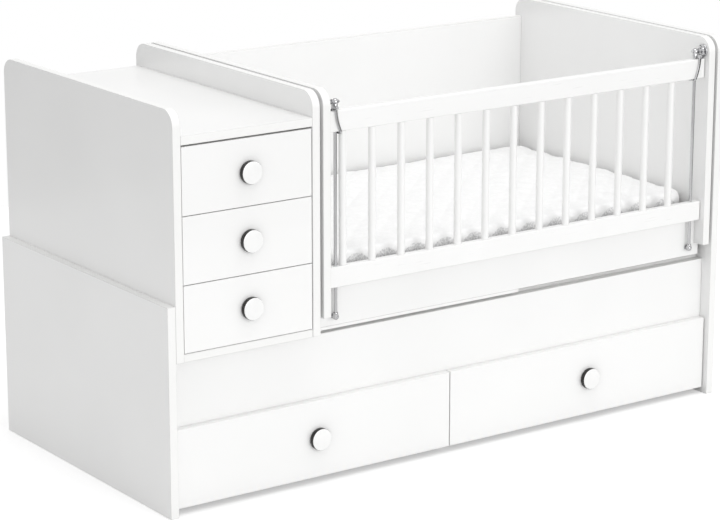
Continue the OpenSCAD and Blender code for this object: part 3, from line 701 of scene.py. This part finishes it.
def makeKnob(name):
    # a turned body with a domed face pressed in it, held by a screw from inside the drawer
    low, high = (Vector(corner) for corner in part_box(name + "_knob_base"))
    faceLow, faceHigh = (Vector(corner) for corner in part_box(name + "_knob_cap"))
    frontLow, frontHigh = (Vector(corner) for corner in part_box(name + "_front"))
    middle = (faceLow + faceHigh) / 2
    outward = axisAt((middle.x, frontLow.y, middle.z), 90, "X")
    depth = frontLow.y - faceHigh.y          # of the body, in front of the drawer's front

    radius = (high.x - low.x) / 2
    edge = knob["edge"]
    end = depth - knob["sunk"]
    body = [(0, 0)] + [(radius - inset, height) for inset, height in knob["foot"]]
    body += arcProfile(edge, 0, 90, 5, (radius - edge, depth - edge))
    body += [(radius - knob["lip"], end), (0, end)]
    turned(body, knob["segments"], outward, name + "KnobBody", "knobBody", name,
           [name + "_knob_base"])

    faceRadius = (faceHigh.x - faceLow.x) / 2
    rise = faceHigh.y - faceLow.y
    domeRise = rise - knob["faceEdge"]
    sphere = (faceRadius ** 2 + domeRise ** 2) / (2 * domeRise)
    face = [(faceRadius - inset, depth + height) for inset, height in knob["faceRim"]]
    for k in range(1, knob["domeSteps"] + 1):
        r = (faceRadius - knob["faceEdge"]) * (1 - k / knob["domeSteps"])
        face.append((r, depth + rise - sphere + math.sqrt(sphere ** 2 - r ** 2)))
    turned(face, knob["segments"], outward, name + "KnobFace", "knobFace", name,
           [name + "_knob_cap"])

    inward = axisAt((middle.x, frontHigh.y, middle.z), -90, "X")
    profile = [(screw["hole"], 0.0)] + scaled(screw["profile"], screw["radius"])
    turned(profile, 32, inward, name + "KnobScrew", "zinc", name)


for name in drawerNames:
    makeKnob(name)
print("knobs turned")

fitting = {
    "segments": 48,
    "ball": 0.008,
    "stem": 0.0045,
    "collar": 0.0068,
    "sleeve": 0.0060,
    "flange": 0.017,
    "flangeDepth": 0.004,
    "screw": 0.0024,
    "screwRing": 0.78,         # share of the flange's radius
    "bore": rodRadius + 0.0001,
    # profiles below: shares of a radius, then shares of another size or metres
    "boss": [(0.62, 1.02), (0.5, 1.15)],                                # flange, its depth
    "ring": [(1, -0.0120), (1, -0.0088)],                               # collar, from the ball's centre
    "pin": [(0.86, 0.90), (0.86, 1.22), (0.6, 1.40), (0, 1.46)],        # stem, ball
    "button": [(0, -1.22), (0.5, -1.2), (0.7, -1.08), (0.7, -0.94)],    # stem, ball
    "socket": [(1, -0.0166), (1, -0.0050), (0.9, -0.0030)],     # sleeve, from the centre
    "countersunk": [(1, 0.0), (0.95, 0.0005), (0.5, 0.0008), (0.45, 0.0002), (0, 0.0001)],     # screw
    "washer": [(1, -0.0021), (1.02, -0.0010), (1.02, 0)],               # collar, from the apron
    "footCollar": [(0.86, 0.0062), (0.9, 0.0070), (0.9, 0.0098), (0.84, 0.0106)],      # collar
    "stud": 0.0024,
}
topLow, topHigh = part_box("rod_top_brackets")
topHeight = (topLow[2] + topHigh[2]) / 2
footLow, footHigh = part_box("rod_feet")
footHeight = (footLow[2] + footHigh[2]) / 2
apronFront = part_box("crib_apron")[0][1]
# which way the flange faces along X, and the end panel's inner face that it is screwed to
ends = {"left": (1, topLow[0]), "right": (-1, topHigh[0])}


def makeTopFitting(end):
    # a flange, a stem with a ring, and a ball with the end of its pin
    side, panel = ends[end]
    x = rodSpots[end]
    reach = abs(x - panel)
    outward = axisAt((panel, rodY, topHeight), 90 * side, "Y")
    rim, depth = fitting["flange"], fitting["flangeDepth"]
    stem, collar, ball = fitting["stem"], fitting["collar"], fitting["ball"]
    profile = [(0, 0), (rim, 0), (rim, depth * 0.45)]
    profile += arcProfile(depth / 2, 0, 80, 5, (rim - depth / 2, depth / 2))
    profile += scaled(fitting["boss"], rim, depth)
    profile += [(collar * 1.15, depth * 1.5), (stem * 1.05, depth * 2.1), (stem, depth * 2.4)]
    profile.append((stem, reach - 0.0125))
    profile += scaled(fitting["ring"], collar, 1, reach)
    profile.append((stem, reach - 0.0084))
    profile += arcProfile(ball, -56, 62, 16, (0, reach)) + scaled(fitting["pin"], stem, ball, reach)
    turned(profile, fitting["segments"], outward, end + "RodTop", "chrome", "frame",
           ["rod_top_brackets"])
    # the sleeve that holds the rod's upper end
    sleeve = [(fitting["bore"], -0.0172), (fitting["sleeve"] - 0.0006, -0.0172)]
    sleeve += scaled(fitting["socket"], fitting["sleeve"])
    turned(sleeve, 40, Matrix.Translation((x, rodY, topHeight)), end + "RodSleeve", "chrome", "frame")
    for k in range(3):
        turn = math.radians(90 + 120 * k)
        ring = rim * fitting["screwRing"]
        spot = Matrix.Translation((ring * math.cos(turn), ring * math.sin(turn), depth * 0.93))
        turned(scaled(fitting["countersunk"], fitting["screw"]), 24, outward @ spot,
               end + "FlangeScrew" + str(k + 1), "zinc", "frame")


def makeFoot(end):
    # a ball on a stud in the apron, with a washer, and a collar where the rod enters the ball
    spot = (rodSpots[end], rodY, footHeight)
    reach = apronFront - rodY
    studEnd = footHigh[1] - rodY
    stem, collar, ball, stud = (fitting[key] for key in ("stem", "collar", "ball", "stud"))
    profile = scaled(fitting["button"], stem, ball) + arcProfile(ball, -66, 62, 16)
    profile += [(stem * 0.8, ball * 0.9), (stem * 0.8, reach - 0.0024)]
    profile += scaled(fitting["washer"], collar, 1, reach)
    profile += [(stud, reach + 0.0001), (stud, studEnd - 0.0006), (0, studEnd)]
    turned(profile, fitting["segments"], axisAt(spot, -90, "X"), end + "RodFoot", "chrome", "frame",
           ["rod_feet"])
    bore = fitting["bore"]
    profile = [(bore, 0.0060)] + scaled(fitting["footCollar"], collar) + [(bore, 0.0107)]
    turned(profile, 40, Matrix.Translation(spot), end + "RodCollar", "chrome", "frame")


for end in ends:
    makeTopFitting(end)
    makeFoot(end)

hookRounding = {"voxel": 0.0004, "factor": 0.5, "passes": 10}


def makeHook(node, body):
    # a bent bar whose edges are rounded all over
    piece = linkPiece(node + "Rounded", toMesh(copyOf(node), node + "Rounded"), body,
                      [node])
    evenMesh(piece, hookRounding["voxel"])
    soften = piece.modifiers.new("soften", "SMOOTH")
    soften.factor = hookRounding["factor"]
    soften.iterations = hookRounding["passes"]
    applyModifiers(piece)
    shadeAll(piece.data, "chrome")


for end in ends:
    makeHook(end + "_latch_hook", end + "_hook")
easePiece("latch_brackets", "drop_side", "chrome", easing["lug"])
print("rod fittings and latches made")

# mattress
mattress = {
    "slim": (0.003, 0.003, 0.001),         # how much the blank is smaller than the CAD box
    "corner": 0.030,                       # rounding of the outline
    "edge": 0.011,                         # rounding of the top and bottom edges
    "voxel": 0.010,
    "held": 0.004,                         # height of the part that rests on the slats
    "pressure": 4.0,
    "stiffness": 18,
    "bending": 0.6,
    "mass": 0.3,
    "frames": 20,
    "cap": 0.006,                          # how far the cloth may move a point
    "puff": 0.0040,                        # on top
    "puffPower": 0.45,
    "puffLevel": 0.45,                     # share of a puff at which the surface stays
    "borderPuff": 0.0028,
    "borderPower": 0.5,
    "borderFoot": 0.012,                   # height at which the relief starts, and how far it fades in
    "borderFade": 0.02,
    "crown": 0.004,
    "crownPower": 6,
    "wrinkle": 0.0009,
    "creases": ((38, 1.0), (85, 0.5)),     # scale and share of each layer
    "reach": 0.002,                        # how far a side may stand out past the CAD box's
}


def mattressBlank():
    # a slab with rounded corners and edges, standing where the CAD solid does
    shape = bmesh.new()
    bmesh.ops.create_cube(shape, size=1.0)
    slim = Vector(mattress["slim"])
    size = [mattressSize[i] - slim[i] for i in range(3)]
    for vert in shape.verts:
        vert.co = Vector((vert.co[i] * size[i] for i in range(3)))
    # the upright edges, then the level ones
    for level, width, segments in ((False, mattress["corner"], 8), (True, mattress["edge"], 4)):
        chosen = [e for e in shape.edges if (abs((e.verts[0].co - e.verts[1].co).z) < 1e-6) == level]
        bmesh.ops.bevel(shape, geom=chosen, offset=width, segments=segments, affect="EDGES", profile=0.5)
    for vert in shape.verts:
        vert.co.z += size[2] / 2
    shape.transform(Matrix.Translation((mattressMiddle.x, mattressMiddle.y, mattressLow.z)))
    return toMesh(shape, "mattressBlank")


def swell(piece):
    # cloth under pressure, its underside held where it rests on the slats
    held = piece.vertex_groups.new(name="held")
    rests = mattressLow.z + mattress["held"]
    held.add([v.index for v in piece.data.vertices if v.co.z < rests], 1.0, "REPLACE")
    start = [v.co.copy() for v in piece.data.vertices]
    cloth = piece.modifiers.new("swell", "CLOTH")
    cloth.settings.quality = 5
    cloth.settings.mass = mattress["mass"]
    cloth.settings.tension_stiffness = mattress["stiffness"]
    cloth.settings.compression_stiffness = mattress["stiffness"]
    cloth.settings.bending_stiffness = mattress["bending"]
    cloth.settings.use_pressure = True
    cloth.settings.uniform_pressure_force = mattress["pressure"]
    cloth.settings.effector_weights.gravity = 0.0
    cloth.settings.vertex_group_mass = "held"
    cloth.point_cache.frame_start = 1
    cloth.point_cache.frame_end = mattress["frames"]
    for number in range(1, mattress["frames"] + 1):
        scene.frame_set(number)
    applyModifiers(piece)
    for vert, before in zip(piece.data.vertices, start):
        step = vert.co - before
        if step.length > mattress["cap"]:
            vert.co = before + step.normalized() * mattress["cap"]
    scene.frame_set(1)


def quiltedSpot(vert):
    # puffs between diagonal rows of stitching on top, upright channels round the border
    away = [vert.co[i] - mattressMiddle[i] for i in range(2)]
    u = (away[0] - quilting["shift"]) / quiltPitch[0]
    v = away[1] / quiltPitch[1]
    up = max(0.0, vert.normal.z)
    above = vert.co.z - mattressLow.z - mattress["borderFoot"]
    relief = min(1.0, max(0.0, above / mattress["borderFade"]))
    top = abs(math.cos(math.pi * (u + v)) * math.cos(math.pi * (u - v))) ** mattress["puffPower"]
    along = abs(math.cos(math.pi * u)) ** mattress["borderPower"] * abs(vert.normal.y)
    across = abs(math.sin(math.pi * v)) ** mattress["borderPower"] * abs(vert.normal.x)
    side = min(1.0, along + across) * (1 - up)
    crown = 1.0
    for i in range(2):
        crown *= 1 - min(1.0, abs(away[i]) / (mattressSize[i] / 2)) ** mattress["crownPower"]
    crease = sum(share * noise.noise(vert.co * scale) for scale, share in mattress["creases"])
    lift = up * (mattress["puff"] * (top - mattress["puffLevel"]))
    lift += side * mattress["borderPuff"] * relief
    lift += mattress["wrinkle"] * crease * relief
    return vert.co + vert.normal * lift + Vector((0, 0, up * crown * mattress["crown"]))


def quilt(piece):
    # moves every point to its place in the quilting, and keeps the sides close to the CAD box
    reach = mattressSize / 2 + Vector([mattress["reach"]] * 3)
    spots = [quiltedSpot(vert) for vert in piece.data.vertices]
    for vert, spot in zip(piece.data.vertices, spots):
        offset = spot - mattressMiddle
        for i in range(2):
            offset[i] = max(-reach[i], min(reach[i], offset[i]))
        spot = mattressMiddle + offset
        spot.z = max(mattressLow.z, spot.z)
        vert.co = spot


def makeMattress():
    piece = bpy.data.objects.new("mattressPad", mattressBlank())
    scene.collection.objects.link(piece)
    evenMesh(piece, mattress["voxel"])
    applyModifiers(piece)
    swell(piece)
    finer = piece.modifiers.new("finer", "SUBSURF")
    finer.levels = finer.render_levels = 1
    applyModifiers(piece)
    quilt(piece)
    shadeAll(piece.data, "ticking")
    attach(piece, "frame")
    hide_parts("mattress")
    print("mattress made,", len(piece.data.vertices), "points")


makeMattress()

# light, floor and background
studio = {
    "horizon": 0.94,       # strength of the surroundings at eye level
    "zenith": 0.79,        # overhead
    "ground": 0.76,        # past the floor
    "groundSeen": 0.04,    # past the floor, as reflections show it away from the open side
    "openSide": (-0.35, -0.94),
    "openSpan": (0.35, 0.80),      # how far toward that side it brightens
    "floorTone": (0.80, 0.80, 0.80),
    "floorLift": 0.36,     # added for the camera alone, up to the background's white
    "floorReach": 2.6,
}
lamps = {
    # name: energy in watts, size, place, what it points at; the key lamp stands so far off that the
    # fronts of open drawers stay as bright as the rest
    "keyLamp": (860.0, 9.0, (0.9, -17.7, 4.0), (0, 0, 0.55)),
    "topLamp": (38.0, 1.8, (0.1, -0.7, 4.4), (0.1, 0, 0.4)),
}


def surroundings(tree, height, ground):
    # a pale sky above a ground of this strength
    sky = ramp(tree, height, [(0.0, [studio["horizon"]] * 3), (1.0, [studio["zenith"]] * 3)])
    below = calc(tree, "LESS_THAN", height, 0.0)
    strength = addNode(tree, "Mix", {0: below, 2: sky, 3: ground}, data_type="FLOAT")
    light = addNode(tree, "Background", {"Color": (1, 1, 1, 1), "Strength": strength.outputs[0]})
    return light.outputs[0]


def makeWorld():
    # the camera sees plain white; metal sees a darker ground, but for the side that is open
    world = bpy.data.worlds.new("studio")
    scene.world = world
    world.use_nodes = True
    tree = world.node_tree
    tree.nodes.clear()
    coord = addNode(tree, "TexCoord", {})
    toward = addNode(tree, "SeparateXYZ", {"Vector": coord.outputs["Generated"]}).outputs
    openness = calc(tree, "MULTIPLY", toward["X"], studio["openSide"][0])
    openness = calc(tree, "MULTIPLY_ADD", toward["Y"], studio["openSide"][1], openness)
    groundSeen = addNode(tree, "MapRange", {
        "Value": openness, "From Min": studio["openSpan"][0], "From Max": studio["openSpan"][1],
        "To Min": studio["groundSeen"], "To Max": studio["ground"],
    }, interpolation_type="SMOOTHSTEP")
    path = addNode(tree, "LightPath", {}).outputs
    lit = surroundings(tree, toward["Z"], studio["ground"])
    reflected = surroundings(tree, toward["Z"], groundSeen.outputs["Result"])
    around = addNode(tree, "MixShader", {0: path["Is Glossy Ray"], 1: lit, 2: reflected})
    white = addNode(tree, "Background", {"Color": (1, 1, 1, 1), "Strength": 1.0})
    seen = addNode(tree, "MixShader", {0: path["Is Camera Ray"], 1: around.outputs[0],
                                       2: white.outputs[0]})
    addNode(tree, "OutputWorld", {"Surface": seen.outputs[0]})


def makeLamps():
    for name, (energy, size, spot, target) in lamps.items():
        data = bpy.data.lights.new(name, "AREA")
        data.energy = energy
        data.size = size
        lamp = bpy.data.objects.new(name, data)
        lamp.location = spot
        lamp.rotation_euler = (Vector(target) - lamp.location).to_track_quat("-Z", "Y").to_euler()
        lamp.visible_camera = False
        scene.collection.objects.link(lamp)


def makeFloor():
    mat, tree, shader = newFinish("studioFloor")
    dress(tree, shader, {"Base Color": (*studio["floorTone"], 1), "Roughness": 0.9,
                         "Specular IOR Level": 0.0})
    path = addNode(tree, "LightPath", {})
    lift = calc(tree, "MULTIPLY", path.outputs["Is Camera Ray"], studio["floorLift"])
    glow = addNode(tree, "Emission", {"Color": (1, 1, 1, 1), "Strength": lift})
    both = addNode(tree, "AddShader", {0: shader.outputs[0], 1: glow.outputs[0]})
    output = [node for node in tree.nodes if node.type == "OUTPUT_MATERIAL"][0]
    tree.links.new(both.outputs[0], output.inputs["Surface"])
    mesh = bpy.data.meshes.new("studioFloor")
    reach = studio["floorReach"]
    mesh.from_pydata([(-reach, -reach, 0), (reach, -reach, 0), (reach, reach, 0), (-reach, reach, 0)],
                     [], [(0, 1, 2, 3)])
    mesh.materials.append(mat)
    floor = bpy.data.objects.new("studioFloor", mesh)
    scene.collection.objects.link(floor)


makeWorld()
makeLamps()
makeFloor()
scene.view_settings.view_transform = "Standard"
print("studio lit")
